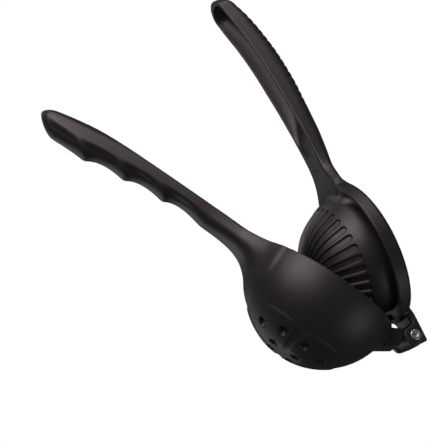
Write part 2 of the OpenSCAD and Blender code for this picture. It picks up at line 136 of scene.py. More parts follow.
def common(a, b, r):
    """Field of what two solids share, with its new edge rounded to radius r."""
    return -joined(-a, -b, r)


def without(a, b, r):
    """Field of solid a less solid b, with the new edge rounded to radius r."""
    return -joined(-a, b, r)


def levelled(shape, x, y, z):
    """A field of slope one near its zero level: the value of shape over the length of its
    gradient, taken from differences over two hundredths of a millimetre."""
    step = 0.02
    value = shape(x, y, z)
    slope_x = shape(x + step, y, z) - value
    slope_y = shape(x, y + step, z) - value
    slope_z = shape(x, y, z + step) - value
    return value / np.maximum(np.sqrt(slope_x**2 + slope_y**2 + slope_z**2) / step, 1e-3)


def ramp(t):
    """0 below 0, 1 above 1, and 3t^2 - 2t^3 between them."""
    t = np.clip(t, 0, 1)
    return t * t * (3 - 2 * t)


def rim_height(x):
    """Height of the rim: two arcs that touch at the bowl's axis and rise to both ends."""
    height = centre_z - rim_drop
    for side, rise in ((-1, rim_rise_grip), (1, rim_rise_hinge)):
        arc_r = (bowl_r**2 + rise**2) / (2 * rise)
        run = np.clip(side * x, 0, bowl_r + 12)
        height = height + arc_r - np.sqrt(arc_r**2 - run**2)
    return height


def cup(x, y, z, r):
    """Distance to a ball of radius r whose upper half is a straight upright wall."""
    return np.sqrt(x**2 + y**2 + np.minimum(z - centre_z, 0) ** 2) - r


def pad_outline(x, y):
    """Distance across the plan to the outline of the pads: in each quarter an arc and two
    straight sides, with a radius at each of the three corners."""
    side = long_gap / 2 - np.abs(y)
    cross = cross_gap / 2 - np.abs(x)
    edge = np.hypot(np.abs(x) - pad_edge_x, y) - pad_edge_r
    return np.maximum.reduce([
        common(side, edge, pad_corners["side"]),
        common(cross, edge, pad_corners["cross"]),
        common(side, cross, pad_corners["inner"]),
    ])


def grip_section(x, y, z):
    """Level of the grip: |y/w|^q + |z/h|^q = 1 across, closed by half an ellipse at the tip."""
    top, middle, under, half, q = columns_at(grip_rows, x)
    rise = z - centre_z - middle
    height = np.where(rise > 0, top - middle, middle - under)
    across = (np.abs(y / half) ** q + np.abs(rise / height) ** q) ** (1 / q)
    return np.hypot(across, np.maximum(grip_end + grip_cap - x, 0) / grip_cap) - 1


def finger_grooves(x, y, z):
    """Depth of the finger grooves: along the grip an arc in each pitch, which leans towards the
    tip as it climbs the side and runs out below the widest place."""
    top, middle, under = columns_at(grip_rows, x)[:3]
    place = (x + groove_lean * (z - centre_z - under) - groove_first) / groove_pitch
    nearest = np.clip(np.round(place), 0, 3)
    across = np.abs(2 * (place - nearest))
    arc = np.where(across < 0.85, 1 - across**2, 0.2775 * ramp((1.2 - across) / 0.7) / ramp(0.5))
    below = np.arctan2(centre_z + middle - z, np.abs(y))
    fade = ramp((below - groove_fade[0]) / groove_fade[1])
    return np.where(nearest == 0, groove_first_share, 1) * groove_h * np.maximum(arc, 0) * fade


def knuckle_side(x, z):
    """Side view of the knuckle: a disc on the screw's axis with a gusset under it and a web
    that slopes down to the rim."""
    along, up = x - pin_x, z - pin_z
    disc = np.hypot(along, up) - knuckle_r
    gusset = along * np.sin(gusset_slope) - up * np.cos(gusset_slope) - knuckle_r
    start = knuckle_r * np.cos(web_turn), knuckle_r * np.sin(web_turn)
    web = (up - start[1]) * np.cos(web_slope) - (along - start[0]) * np.sin(web_slope)
    root = bowl_r - 3.5 - x
    wedge = np.maximum.reduce([gusset, web, along - start[0] * 0.6, root])
    return joined(disc, wedge, 1)


def bowl_arm_field(x, y, z):
    """Below zero inside the bowl arm, and near its skin the distance to it."""
    pads = ramp(0.5 - pad_outline(x, y) / pad_slope / 2) * (z < centre_z)
    grip = levelled(grip_section, x, y, z) + finger_grooves(x, y, z)
    grip = np.maximum(grip, x + bowl_r - grip_depth)
    body = joined(cup(x, y, z, bowl_r) - pad_relief * pads, grip, grip_fillet)
    body = common(body, z - rim_height(x), rim_round)
    knuckle = common(knuckle_side(x, z), np.abs(y) - knuckle_half, 0.8)
    body = joined(body, knuckle, 1.5)
    body = without(body, cup(x, y, z, bowl_r - bowl_wall), rim_round)
    for reach, angle in hole_places:
        hole_x, hole_y = reach * np.cos(np.radians(angle)), reach * np.sin(np.radians(angle))
        hole = np.hypot(np.abs(x) - hole_x, np.abs(y) - hole_y) - hole_r
        body = without(body, np.maximum(hole, z - centre_z), 0.5)
    body = without(body, np.hypot(x - pin_x, z - pin_z) - bore_r, 0.2)
    return common(body, -z, 0.6)


def skin(field, xs, ys, zs):
    """Mesh of a field's zero level on a grid.  Each cell whose corners differ in sign gets a
    vertex at the mean of the crossings on its edges, which Newton steps along the gradient
    then bring on to the level; each grid edge whose ends differ gets the quad of its four
    cells.  Away from the skin, blocks of 4 x 4 x 4 points take one value."""
    block = 4
    centres = [axis.reshape(-1, block).mean(axis=1) for axis in (xs, ys, zs)]
    rough = field(*np.meshgrid(*centres, indexing="ij"))
    widest = max(np.diff(axis).max() for axis in (xs, ys, zs))
    near = np.abs(rough) < 1.6 * block * widest
    value, near = [a.repeat(block, 0).repeat(block, 1).repeat(block, 2) for a in (rough, near)]
    i, j, k = np.nonzero(near)
    value[i, j, k] = field(xs[i], ys[j], zs[k])

    inside = value < 0
    corners = [(a, b, c) for a in (0, 1) for b in (0, 1) for c in (0, 1)]
    size = [n - 1 for n in value.shape]

    def corner_of(array, c):
        """The values at one corner of every cell."""
        return array[c[0]:c[0] + size[0], c[1]:c[1] + size[1], c[2]:c[2] + size[2]]

    count = sum(corner_of(inside, c).astype(np.int8) for c in corners)
    i, j, k = np.nonzero((count > 0) & (count < 8))
    total = np.zeros((len(i), 3))
    crossings = np.zeros(len(i))
    for start in corners:
        for axis in range(3):
            if start[axis]:
                continue
            end = tuple(1 if n == axis else start[n] for n in range(3))
            low = value[i + start[0], j + start[1], k + start[2]]
            high = value[i + end[0], j + end[1], k + end[2]]
            crossed = (low < 0) != (high < 0)
            t = np.where(crossed, low / np.where(crossed, low - high, 1), 0)
            at = [
                points[m + start[n]] * (1 - t) + points[m + end[n]] * t
                for n, (points, m) in enumerate(zip((xs, ys, zs), (i, j, k)))
            ]
            total += np.stack(at, axis=1) * crossed[:, None]
            crossings += crossed
    points = total / crossings[:, None]

    number = np.full(size, -1)
    number[i, j, k] = np.arange(len(i))
    quads = []
    for axis in range(3):
        b, c = (axis + 1) % 3, (axis + 2) % 3
        solid = np.moveaxis(inside, (axis, b, c), (0, 1, 2))
        cells = np.moveaxis(number, (axis, b, c), (0, 1, 2))
        low, high = solid[:-1, 1:-1, 1:-1], solid[1:, 1:-1, 1:-1]
        p, q, r = np.nonzero(low != high)
        quad = np.stack([cells[p, q, r], cells[p, q + 1, r], cells[p, q + 1, r + 1],
                         cells[p, q, r + 1]], axis=1)
        quads.append(np.where(low[p, q, r][:, None], quad, quad[:, ::-1]))

    for _ in range(3):
        level, slope = field(*points.T), gradient(field, points)
        move = slope * (level / np.maximum((slope**2).sum(axis=1), 0.2))[:, None]
        points -= np.clip(move, -0.4, 0.4)
    return points, np.concatenate(quads)


def gradient(field, points, step=0.03):
    """Gradient of a field at points, from central differences."""
    x, y, z = points.T
    return np.stack([
        field(x + step, y, z) - field(x - step, y, z),
        field(x, y + step, z) - field(x, y - step, z),
        field(x, y, z + step) - field(x, y, z - step),
    ], axis=1) / (2 * step)


def crest(field, points, step=0.8):
    """How far edges stand out: the mean of the field at six points around each point, which is
    above zero on an outer edge, zero on a flat and below zero in a corner."""
    x, y, z = points.T
    around = (field(x + step, y, z) + field(x - step, y, z) + field(x, y + step, z)
              + field(x, y - step, z) + field(x, y, z + step) + field(x, y, z - step)) / 6
    return np.clip(around / 0.15, -1, 1)


def even(start, stop, step):
    """Places from start to stop, step apart or a little less."""
    return np.linspace(start, stop, int(np.ceil((stop - start) / step)) + 1)


def axis_of(*stretches):
    """Grid places along stretches (start, stop, step), with places added at the end so that
    their number divides by four."""
    places = np.unique(np.concatenate([even(*s) for s in stretches]).round(4))
    extra = -len(places) % 4
    return np.concatenate([places, places[-1] + np.arange(1, extra + 1)])


def skin_object(name, field, grid, place=np.eye(4)):
    """A mesh object of a field's skin, with the field's own gradient as its normals, moved to
    its place and turned into metres."""
    points, quads = skin(field, *grid)
    slope = gradient(field, points)
    slope /= np.linalg.norm(slope, axis=1)[:, None]
    mesh = bpy.data.meshes.new(name)
    moved = points @ place[:3, :3].T + place[:3, 3]
    mesh.vertices.add(len(points))
    mesh.vertices.foreach_set("co", (moved * MM).ravel())
    mesh.loops.add(quads.size)
    mesh.loops.foreach_set("vertex_index", quads.ravel())
    mesh.polygons.add(len(quads))
    mesh.polygons.foreach_set("loop_start", np.arange(0, quads.size, 4))
    mesh.polygons.foreach_set("use_smooth", np.ones(len(quads), bool))
    mesh.update(calc_edges=True)
    mesh.attributes.new("crest", "FLOAT", "POINT").data.foreach_set("value", crest(field, points))
    mesh.validate()
    mesh.normals_split_custom_set_from_vertices((slope @ place[:3, :3].T).tolist())
    piece = bpy.data.objects.new(name, mesh)
    bpy.context.scene.collection.objects.link(piece)
    return piece


bowl_arm = skin_object("bowl_arm_nylon", bowl_arm_field, [
    axis_of((grip_end - 2, -85, 1.3), (-85, -bowl_r, 1), (-bowl_r, bowl_r, 0.9),
            (bowl_r, 70, 0.7)),
    axis_of((-bowl_r - 2, bowl_r + 2, 0.9)),
    axis_of((-1.5, 62.5, 0.9)),
])
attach(bowl_arm, "bowl_side")
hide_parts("bowl_arm")


def node_group(name, inputs, outputs):
    """An empty shader node group with named float sockets."""
    group = bpy.data.node_groups.new(name, "ShaderNodeTree")
    for socket, value in inputs.items():
        made = group.interface.new_socket(socket, in_out="INPUT", socket_type="NodeSocketFloat")
        made.default_value = value
    for socket in outputs:
        group.interface.new_socket(socket, in_out="OUTPUT", socket_type="NodeSocketFloat")
    return group, group.nodes.new("NodeGroupInput"), group.nodes.new("NodeGroupOutput")


def spread(nodes, links, value, low, high, to_low, to_high):
    """value from low..high mapped on to to_low..to_high and held there."""
    node = nodes.new("ShaderNodeMapRange")
    ends = {"From Min": low, "From Max": high, "To Min": to_low, "To Max": to_high}
    for socket, number in ends.items():
        node.inputs[socket].default_value = number
    links.new(value, node.inputs["Value"])
    return node.outputs["Result"]


def maths(nodes, links, operation, a, b):
    """One Math node; a and b are sockets or numbers."""
    node = nodes.new("ShaderNodeMath")
    node.operation = operation
    for socket, value in zip(node.inputs, (a, b)):
        if isinstance(value, (int, float)):
            socket.default_value = value
        else:
            links.new(value, socket)
    return node.outputs[0]


moulded, inside_socket, outside = node_group(
    "moulded_plastic", {"Grain": 1700.0, "Cloud": 28.0}, ["Height", "Gloss"])
nodes, links = moulded.nodes, moulded.links
where = nodes.new("ShaderNodeTexCoord").outputs["Object"]
grain = nodes.new("ShaderNodeTexNoise")
grain.inputs["Detail"].default_value = 3
links.new(where, grain.inputs["Vector"])
links.new(inside_socket.outputs["Grain"], grain.inputs["Scale"])
cloud = nodes.new("ShaderNodeTexNoise")
cloud.inputs["Detail"].default_value = 4
cloud.inputs["Roughness"].default_value = 0.6
links.new(where, cloud.inputs["Vector"])
links.new(inside_socket.outputs["Cloud"], cloud.inputs["Scale"])
links.new(grain.outputs["Fac"], outside.inputs["Height"])
links.new(cloud.outputs["Fac"], outside.inputs["Gloss"])


def material(name):
    """A new node material: its tree's nodes and links, and its Principled shader."""
    made = bpy.data.materials.new(name)
    made.use_nodes = True
    tree = made.node_tree
    return made, tree.nodes, tree.links, tree.nodes["Principled BSDF"]


def mixed(nodes, links, factor, a, b):
    """A colour that goes from a to b with factor."""
    node = nodes.new("ShaderNodeMix")
    node.data_type = "RGBA"
    links.new(factor, node.inputs["Factor"])
    for socket, value in (("A", a), ("B", b)):
        target = [s for s in node.inputs if s.name == socket and s.type == "RGBA"][0]
        if isinstance(value, tuple):
            target.default_value = (*value, 1)
        else:
            links.new(value, target)
    return [s for s in node.outputs if s.type == "RGBA"][0]


black_nylon, nodes, links, shader = material("black_nylon_satin")
plastic = nodes.new("ShaderNodeGroup")
plastic.node_tree = moulded
edges = nodes.new("ShaderNodeAttribute")
edges.attribute_name = "crest"
rubbed = spread(nodes, links, edges.outputs["Fac"], 0.35, 1, 0, 0.7)
body_colour = mixed(nodes, links, plastic.outputs["Gloss"],
                    (0.0032, 0.0027, 0.0034), (0.0050, 0.0044, 0.0050))
worn_colour = mixed(nodes, links, rubbed, body_colour, (0.0085, 0.0076, 0.0082))
links.new(worn_colour, shader.inputs["Base Color"])
soft = spread(nodes, links, plastic.outputs["Gloss"], 0.3, 0.7, 0.5, 0.42)
polish = maths(nodes, links, "MULTIPLY", rubbed, 0.06)
links.new(maths(nodes, links, "SUBTRACT", soft, polish), shader.inputs["Roughness"])
bump = nodes.new("ShaderNodeBump")
bump.inputs["Strength"].default_value = 0.35
bump.inputs["Distance"].default_value = 0.00006
links.new(plastic.outputs["Height"], bump.inputs["Height"])
links.new(bump.outputs["Normal"], shader.inputs["Normal"])
shader.inputs["Specular Tint"].default_value = (1, 0.89, 0.92, 1)
bowl_arm.data.materials.append(black_nylon)

# ---------------------------------------------------------------------------------------
# Press arm.  Moulded in one shot from the same nylon: a hollow fluted dome, a cover whose lip
# hangs over the bowl's rim, a ridged grip that is open below, and two ears for the screw.
# It is drawn closed, with the screw's axis at zero, and turned up by rest_turn.
# ---------------------------------------------------------------------------------------
rest_turn = np.radians(30)
press_x = -pin_x
press_r = 38.7
press_z = -3.5
press_wall = 3.4
foot = (36.67, -15.9)
crest_r = 40.2
crest_z = -6.2
shoulder_h = 4.2
swell_r = ((crest_z - foot[1]) ** 2 + (crest_r - foot[0]) ** 2) / (crest_r - foot[0]) / 2
flute_count = 34
flute_half = 1.9
flute_depth = 1.15
flute_wall = 0.8
flute_start = 13
shell_depth = 1.6
shell_t = 1.9
shell_lift = 0.012
shell_skip = 5

cover_r = 48.6
cover_top = 4.4
cover_under = 0.4
cover_edge = 3
lip_inner = 45.9
lip_bottom = -5
lip_gap = 1

ear_in = 9.1
ear_out = 14.7
ear_low = -7
ear_arch_r = 3.8
bridge_t = 2.4
ear_end = 6.5
ear_back = -6
ear_rise = 5
ear_corner_r = 5
ear_arm_t = 5.6
ear_foot = -18.5
ear_bend = -11.5
ear_slope = 0.157
ear_end_slope = 0.029
bridge_gap = 0.4
room_side = 0.6
room_foot = -17.5
head_pocket_y = -10.9
nut_pocket_y = 10.9
head_pocket_r = 3.85
nut_pocket_half = 3.85

root_fade = np.radians([36, 60])
root_inner = 38
root_slope = 0.06
root_bend = 0.03
root_drop = 12
root_fillet = 3.5
neck_turn = np.radians([18, 54])
neck_lift = 1.7

channel_half = 12.5
channel_wall = 2.6
channel_back = 2.8
channel_q = 2.5
channel_root = -12.5 - 2 * bowl_r
channel_end = channel_root - 154
channel_cap = 10
climb_from = channel_root - 66
climb_run = 46
hollow_least = 2.5
hollow_tip = channel_end + 12
hollow_tip_run = 8
hollow_neck = channel_root - 48
hollow_neck_run = 24
gate_r = 2.4
gate_below = 1.7
gate_x = channel_root - 15
ridge_pitch = 5.2
ridge_count = 16
ridge_h = 0.9
ridge_first = channel_end + channel_cap + 2.5
# place along X, then top, widest place and underside from the screw's axis, half width
# and squareness of the back
channel_rows = [
    [channel_end, -7.6, -10.5, -13.8, channel_half - 0.7, 2.4],
    [channel_end + 4.5, -2, -8, -13, channel_half - 0.4, 2.4],
    [channel_end + 12.5, 1.5, -6, -11.5, channel_half - 0.2, 2.6],
    [channel_end + 21.5, 5, -4, -9.8, channel_half, 2.6],
    [channel_end + 34.5, 8.4, -2, -7.2, channel_half, 2.6],
    [channel_end + 53.5, 11.5, 1, -4.7, channel_half, 2.6],
    [channel_root - 77.5, 12.9, 3, -3, channel_half, 2.6],
    [channel_root - 64.5, 12.5, 3.3, -2.2, channel_half, 2.6],
    [channel_root - 49.5, 11.8, 3.3, -1.6, channel_half, 2.6],
    [channel_root - 36.5, 10.9, 3.2, -1.3, channel_half, 2.8],
    [channel_root - 22.5, cover_top + 4.6, 2.5, -1.4, channel_half, 3],
    [channel_root - 14.2, cover_top + 3, 1.5, -2, channel_half + 0.6, 3.2],
    [channel_root - 9.5, cover_top + 2.1, 1, -2.5, channel_half + 2, 3.5],
    [channel_root - 3.5, cover_top + 1, 0.3, -3, channel_half + 5.5, 4],
    [channel_root + 0.5, cover_top + 0.4, 0, -3.6, channel_half + 8, 4],
    [channel_root + 4.5, cover_top, -0.3, -4.4, channel_half + 9.8, 4],
    [channel_root + 8.5, cover_top - 0.1, -0.6, -5.4, channel_half + 10.5, 4],
    [channel_root + 13, cover_top - 0.3, -0.9, -6.4, channel_half + 10, 4],
]


def shoulder(out, z):
    """Section of the shoulder: an arc from the dome's foot round the crest, then upright."""
    arc = np.hypot(out - crest_r + swell_r, z - crest_z) - swell_r
    top = crest_z + shoulder_h
    upright = out - crest_r + swell_r - np.sqrt(swell_r**2 - shoulder_h**2)
    return joined(np.maximum(arc, z - top - 1), np.maximum(upright, top - z), 0.6)


def press_section(out, z, sunk=0):
    """Section of the press: the dome, sunk by a depth under its fluted skin, and the shoulder
    with a fillet between them."""
    dome = np.hypot(out, z - press_z) - press_r + sunk
    return joined(dome, np.maximum(shoulder(out, z), foot[1] + 3.4 - z if sunk else -99), 3)


def press_field(x, y, z):
    """The press without its flutes, the cover and its lip, and the grip's root, which fills the
    groove between them and fades out on both sides of the grip."""
    across = x - press_x
    out = np.hypot(across, y)
    inward = cover_r - out
    aside = np.abs(np.arctan2(y, -across))
    edge = lip_bottom + neck_lift * (1 - ramp((aside - neck_turn[0]) / np.ptp(neck_turn)))
    body = np.maximum(press_section(out, z, shell_depth), z - cover_top)
    lip = np.maximum.reduce([lip_inner - out, edge - z, z - cover_under - 1])
    rim = rim_height(across) - pin_z + lip_gap
    lip = np.where(across > 0, np.maximum(lip, rim - z), lip)
    outline = common(-inward, z - cover_top, cover_edge)
    plate = common(outline, joined(cover_under - z, lip, 0.5), 0.5)
    fade = ramp((aside - root_fade[0]) / np.ptp(root_fade))
    under = edge - root_slope * inward - root_bend * inward**2 + root_drop * fade
    root = common(0.05 - inward, (under - z) / 1.4, 0.7)
    root = np.maximum.reduce([root, root_inner - out, z, across])
    return joined(joined(body, plate, 1.6), joined(body, root, root_fillet), 0.3)


def press_hollow(x, y, z):
    """The hollow in the dome: a ball below and a cone that widens to the mouth above."""
    out, up = np.hypot(x - press_x, y), z - press_z
    ball = np.sqrt(out**2 + up**2) - (press_r - press_wall)
    neck_z, neck_out = press_z - 3.7, press_r - press_wall - 0.2
    flare = 0.15
    cone = (out - neck_out - flare * (z - neck_z)) / np.hypot(1, flare)
    return np.minimum(ball, np.maximum(cone, neck_z - z))


def channel_back_level(x, y, z):
    """Level of the grip's back: |y/w|^q + |z/h|^q = 1 above the widest place and upright sides
    below it, rounded in plan at the tip; the height dips between the ridges."""
    top, middle, under, half, q = columns_at(channel_rows, x)
    place = (x - ridge_first) / ridge_pitch
    ridged = (place > 0) & (place < ridge_count)
    top = top - np.where(ridged, ridge_h * (1 - np.abs(np.sin(np.pi * place))) ** 2, 0)
    wide = np.hypot(y / half, np.maximum(channel_end + channel_cap - x, 0) / channel_cap)
    high = np.maximum(z - middle, 0) / (top - middle)
    return (wide**q + high**q) ** (1 / q) - 1


def channel_hollow_level(x, y, z):
    """Level of the hollow under the grip: an arch |y/w|^q + |z/h|^q = 1 whose legs spread to
    the opening; its floor climbs towards the neck, and both ends are closed by part of an
    ellipse."""
    top, _, under, half, _ = columns_at(channel_rows, x)
    climb = ramp((x - climb_from) / climb_run)
    height = np.maximum((top - channel_back - under) * (1 - climb), hollow_least)
    above = np.maximum(z - under, 0)
    wide = np.abs(y) / (half - channel_wall + 0.6 - 0.12 * above)
    arch = (wide**channel_q + (above / height) ** channel_q) ** (1 / channel_q)
    tip = np.maximum(hollow_tip - x, 0) / hollow_tip_run
    neck = np.maximum(x - hollow_neck, 0) / hollow_neck_run
    return np.hypot(arch, tip + neck) - 1


def ear_side(x, z):
    """Side view of an ear: a plate round the screw with two wide lower corners, and an arm
    back to the cover with an arch under it."""
    low = ear_low - z
    under = cover_top - ear_arm_t
    plate = np.maximum(common(x - ear_end, low, ear_corner_r), common(ear_back - x, low, ear_corner_r))
    arm = np.maximum.reduce([x - ear_end, under - z, ear_foot - x])
    arch = np.hypot(x - ear_back + ear_arch_r, z - under) - ear_arch_r
    arm = without(arm, np.maximum(arch, x - ear_back), 0.5)
    top = np.where(x < ear_bend, z - cover_top - (x - ear_foot) * ear_slope,
                   z - ear_rise - 0.5 + (x - ear_bend) * ear_end_slope)
    return common(common(joined(plate, arm, 0.6), top, 0.3), x - ear_end, 1.2)


def press_arm_field(x, y, z):
    """Below zero inside the press arm, and near its skin the distance to it."""
    body = press_field(x, y, z)
    under = columns_at(channel_rows, x)[2]
    edge_r = 1.1 + 1.9 * ramp((x - channel_root + 26) / 24)
    grip = common(levelled(channel_back_level, x, y, z), under - z, edge_r)
    grip = np.maximum(grip, x - channel_root - 13)
    grip = without(grip, levelled(channel_hollow_level, x, y, z), 0.8)
    body = joined(body, grip, 0.4 + 2.6 * ramp((z + 2) / 3))
    slab = np.maximum(ear_in - np.abs(y), np.abs(y) - ear_out)
    ears = common(ear_side(x, z), slab, 0.7)
    bridge = np.maximum.reduce([np.abs(y) - ear_in - 1, ear_foot - x, cover_top - bridge_t - z,
                                x + knuckle_r / 2])
    bridge = common(bridge, knuckle_r + bridge_gap - np.hypot(x, z), 0.2)
    bridge = common(bridge, z - cover_top, 0.6)
    body = joined(body, joined(ears, bridge, 0.8), 1.2)
    room_z = knuckle_r * (np.sin(web_turn) - np.cos(web_turn) * np.tan(web_slope)) + lip_gap
    room = np.maximum.reduce([np.abs(y) - knuckle_half - room_side, x + knuckle_r + lip_gap,
                              room_foot - x, z - room_z - x * np.tan(web_slope)])
    body = without(body, room, 0.4)
    body = without(body, press_hollow(x, y, z), 2.6)
    gate = np.sqrt((x - gate_x) ** 2 + y**2 + (z - under + gate_below) ** 2) - gate_r
    body = without(body, gate, 0.6)
    out = np.hypot(x, z)
    body = without(body, out - bore_r, 0.2)
    body = without(body, np.maximum(out - head_pocket_r, y - head_pocket_y), 0.25)
    turn = np.arctan2(z, x)
    sixth = turn - (np.floor(turn / (np.pi / 3)) + 0.5) * np.pi / 3
    hexagon = out * np.cos(sixth) - nut_pocket_half
    return without(body, np.maximum(hexagon, nut_pocket_y - y), 0.25)


cos_rest, sin_rest = np.cos(rest_turn), np.sin(rest_turn)
at_rest = np.array([
    [cos_rest, 0, sin_rest, pin_x],
    [0, 1, 0, 0],
    [-sin_rest, 0, cos_rest, pin_z],
    [0, 0, 0, 1],
])
press_arm = skin_object("press_arm_nylon", press_arm_field, [
    axis_of((channel_end - 2, -165, 0.9), (-165, gate_x - 3, 1.1), (gate_x - 3, gate_x + 3, 0.5),
            (gate_x + 3, press_x - cover_r, 1.1), (press_x - cover_r, -16, 0.95), (-16, 9, 0.7)),
    axis_of((-cover_r - 2, -3, 0.95), (-3, 3, 0.5), (3, cover_r + 2, 0.95)),
    axis_of((-43.5, -14, 0.95), (-14, 16, 0.8)),
], at_rest)
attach(press_arm, "press_side")
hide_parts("press_arm")
press_arm.data.materials.append(black_nylon)


def mesh_object(name, grid, place=np.eye(4)):
    """A smooth closed mesh through a grid of points, rows by columns by three, joined round
    its columns.  Rows that shrink to a point become the tip of a fan, and a last row that
    lies on the first one is joined to it."""
    rows, columns = grid.shape[:2]
    index = np.arange(rows * columns).reshape(rows, columns)
    if np.allclose(grid[0], grid[-1]):
        index[-1] = index[0]
    single = np.ptp(grid, axis=1).max(axis=1) < 1e-6
    index[single] = index[single][:, :1]
    beside = np.roll(index, -1, axis=1)
    quads = np.stack([index[:-1], beside[:-1], beside[1:], index[1:]], axis=-1).reshape(-1, 4)
    keep = quads != np.roll(quads, -1, axis=1)
    used, flat = np.unique(quads[keep], return_inverse=True)
    mesh = bpy.data.meshes.new(name)
    points = grid.reshape(-1, 3)[used] @ place[:3, :3].T + place[:3, 3]
    mesh.vertices.add(len(points))
    mesh.vertices.foreach_set("co", (points * MM).ravel())
    mesh.loops.add(len(flat))
    mesh.loops.foreach_set("vertex_index", flat.ravel())
    mesh.polygons.add(len(quads))
    mesh.polygons.foreach_set("loop_start", np.concatenate([[0], np.cumsum(keep.sum(axis=1))[:-1]]))
    mesh.polygons.foreach_set("use_smooth", np.ones(len(quads), bool))
    mesh.update(calc_edges=True)
    mesh.validate()
    piece = bpy.data.objects.new(name, mesh)
    bpy.context.scene.collection.objects.link(piece)
    return piece


def section_places(low, high, step):
    """Places from low to high, about a step apart, without the last."""
    return np.linspace(low, high, max(int((high - low) / step), 1), endpoint=False)


# The fluted skin of the dome: the section is walked from its pole to the crest, and each
# share of the turn has one flute with steep walls, a flat floor and round ends.
foot_turn = np.arcsin(foot[0] / press_r)
start_turn = np.arcsin(flute_start / press_r)
turns = np.concatenate([
    section_places(0, start_turn - 0.05, 0.05),
    section_places(start_turn - 0.05, start_turn + 0.05, 0.007),
    section_places(start_turn + 0.05, foot_turn - 0.06, 0.024),
    section_places(foot_turn - 0.06, foot_turn + 0.03, 0.006),
])
out = np.concatenate([press_r * np.sin(turns), np.linspace(38.3, 39.8, 8), [39.81]])
up = np.concatenate([press_z - press_r * np.cos(turns), np.linspace(-14.2, -9.6, 8), [-9.57]])
for _ in range(8):
    level = press_section(out, up)
    slope_out = (press_section(out + 0.01, up) - press_section(out - 0.01, up)) / 0.02
    slope_up = (press_section(out, up + 0.01) - press_section(out, up - 0.01)) / 0.02
    length = np.hypot(slope_out, slope_up)
    out, up = out - level * slope_out / length**2, up - level * slope_up / length**2
out[0] = 0
along = np.concatenate([[0], np.cumsum(np.hypot(np.diff(out), np.diff(up)))])
first = np.interp(flute_start, out, along)
last = np.interp(foot[1] - 1.9, up, along)
half_pitch = np.pi * out / flute_count
half = np.maximum(np.minimum(flute_half, half_pitch - 0.5), 0.02)
wall = np.minimum(flute_wall, half_pitch)
floor_edge = np.maximum(half - wall / 2, 0.3 * half)
rib_edge = np.minimum(half + wall / 2, 0.9 * half_pitch)
share = np.concatenate([np.linspace(0, 1, 4)[:-1], np.linspace(1, 2, 7)[:-1], np.linspace(2, 3, 3)])
places = np.stack([0 * out, floor_edge, rib_edge, half_pitch], axis=1)
aside = np.stack([np.interp(share, [0, 1, 2, 3], p) for p in places])
aside = np.concatenate([-aside[:, :0:-1], aside[:, :-1]], axis=1)
beyond = np.maximum.reduce([first - along, along - last, 0 * along])[:, None]
rise = (half[:, None] - np.hypot(aside, beyond)) / np.maximum(wall, 0.01)[:, None]
depth = flute_depth * ramp(rise + 0.5)
depth[0] = 0
turn = np.divide(aside, out[:, None], out=0 * aside, where=out[:, None] > 0)
turn = (turn[:, None, :] + 2 * np.pi * (np.arange(flute_count)[None, :, None] + 0.5) / flute_count)
turn = turn.reshape(len(out), -1)
depth = np.tile(depth, (1, flute_count))
shell_out = out[:, None] - (slope_out / length)[:, None] * (depth - shell_lift)
shell_up = up[:, None] - (slope_up / length)[:, None] * (depth - shell_lift)
inner_out = (out - slope_out / length * shell_t)[::-1, None] + 0 * turn
inner_up = (up - slope_up / length * shell_t)[::-1, None] + 0 * turn
shell_out = np.concatenate([shell_out, inner_out[::shell_skip]])
shell_up = np.concatenate([shell_up, inner_up[::shell_skip]])
turn = np.concatenate([turn, turn[::-1][::shell_skip]])
shell_out[0], shell_up[0] = 0, up[0]
shell = np.stack([press_x + shell_out * np.cos(turn), shell_out * np.sin(turn), shell_up], axis=-1)
pole = np.broadcast_to([press_x, 0, up[0] + shell_t], (1, turn.shape[1], 3))
shell = np.concatenate([shell, pole])
dome_skin = mesh_object("press_dome_flutes", shell[::-1], at_rest)
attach(dome_skin, "press_side")
dome_skin.data.materials.append(black_nylon)

# ---------------------------------------------------------------------------------------
# Hinge screw.  A socket head screw of bright steel: the head is forged with its hexagon
# socket and knurled round its side, and the thread is rolled on to the end of the shank.
# It is pushed through both ears and the knuckle from the side that faces the camera.
# ---------------------------------------------------------------------------------------
screw_r = 2
head_r = 3.5
head_end = -14.9
head_seat = -10.9
head_chamfer = 0.45
socket_half = 1.5
socket_depth = 2
screw_end = 17.1
thread_from = 9.5
thread_pitch = 0.7
thread_h = 0.36
knurl_count = 36
knurl_h = 0.07
turns_round = np.arange(144) * 2 * np.pi / 144


def hexagon(half, corner_turn):
    """Radius of a hexagon with half its width across flats given, at each place round it:
    half / cos of the angle to the middle of the nearest side."""
    sixth = np.pi / 3
    beside = (turns_round - corner_turn + 10 * sixth) % sixth - sixth / 2
    return half / np.cos(beside)


def turned(rows):
    """Grid of points round the screw's axis from rows of (place along the axis, radius); a
    radius is one number or an array round the axis."""
    place, radius = zip(*[np.broadcast_arrays(along, r, turns_round)[:2] for along, r in rows])
    place, radius = np.array(place), np.array(radius)
    across, upward = radius * np.cos(turns_round), radius * np.sin(turns_round)
    return np.stack([pin_x + across, place, pin_z + upward], axis=-1)


def eased(corner, start, stop, count=4):
    """Rows round one corner of a section, on the curve (1-t)^2 start + 2t(1-t) corner + t^2
    stop; each of the three is a pair of place and radius."""
    t = np.linspace(0, 1, count)
    weights = (1 - t) ** 2, 2 * t * (1 - t), t**2
    ends = start, corner, stop
    return [
        tuple(sum(w[i] * np.asarray(p[n], float) for w, p in zip(weights, ends)) for n in (0, 1))
        for i in range(count)
    ]


